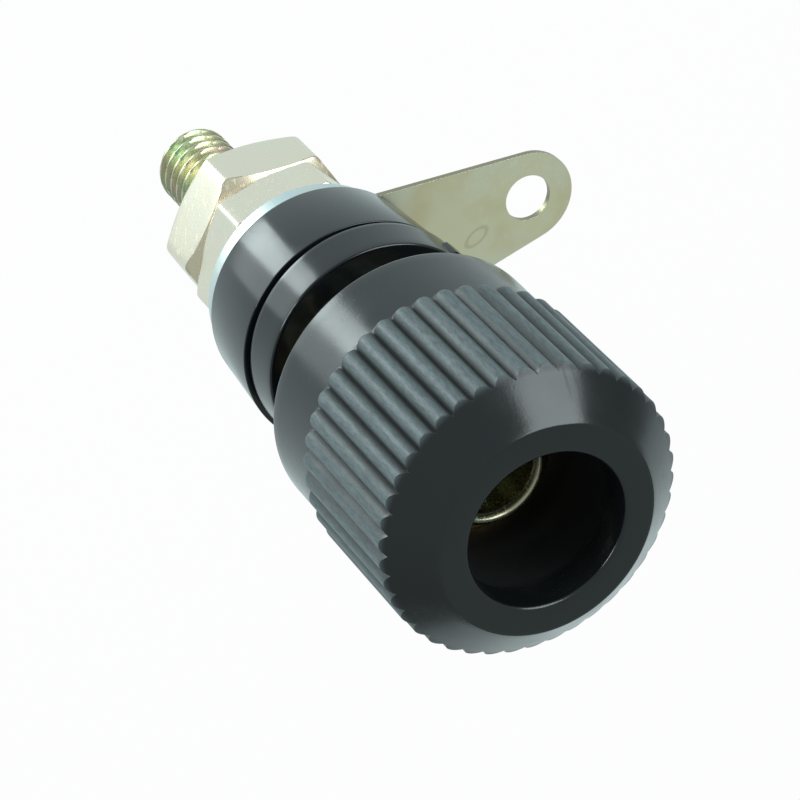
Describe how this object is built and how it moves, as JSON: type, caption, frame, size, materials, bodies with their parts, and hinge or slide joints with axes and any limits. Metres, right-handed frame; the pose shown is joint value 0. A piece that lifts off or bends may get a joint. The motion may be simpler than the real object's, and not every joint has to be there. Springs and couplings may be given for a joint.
{
  "type": "binding post",
  "caption": "Panel-mounted binding post: ribbed insulated knob on a threaded socket stud, two insulating rings, solder lug, washer and two nuts.",
  "frame": {"origin": "on the post's axis, in the panel's front face, where the front insulator seats", "axes": "+Z along the post's axis, out of the panel towards the knob's mouth; the solder lug points to -Y and a little to -X"},
  "size_m": [0.0144, 0.0202, 0.0393],
  "materials": {
    "black_plastic": "moulded, glossy with satin ribs",
    "brass": "turned",
    "stud_plate": "plated, bright",
    "nut_plate": "plated, satin",
    "lug_plate": "plated, dull"
  },
  "bodies": {
    "post": {"socket_stud": "stud_plate", "front_insulator": "black_plastic", "rear_insulator": "black_plastic", "solder_lug": "lug_plate", "flat_washer": "nut_plate", "inner_nut": "nut_plate", "outer_nut": "nut_plate"},
    "knob_carrier": {"knob_insert": "brass"},
    "knob_shell": {"knob": "black_plastic"}
  },
  "joints": [
    {"name": "knob_advance", "type": "slide", "parent": "post", "child": "knob_carrier", "axis": [0, 0, 1], "range_m": [-0.00315, 0.00225]},
    {"name": "knob_turn", "type": "hinge", "parent": "knob_carrier", "child": "knob_shell", "pos_m": [0, 0, 0], "axis": [0, 0, 1], "range_deg": [-1513, 1081]}
  ],
  "couplings": [
    {"joint": "knob_turn", "follows": "knob_advance", "rad_per_m": 8377.6}
  ]
}
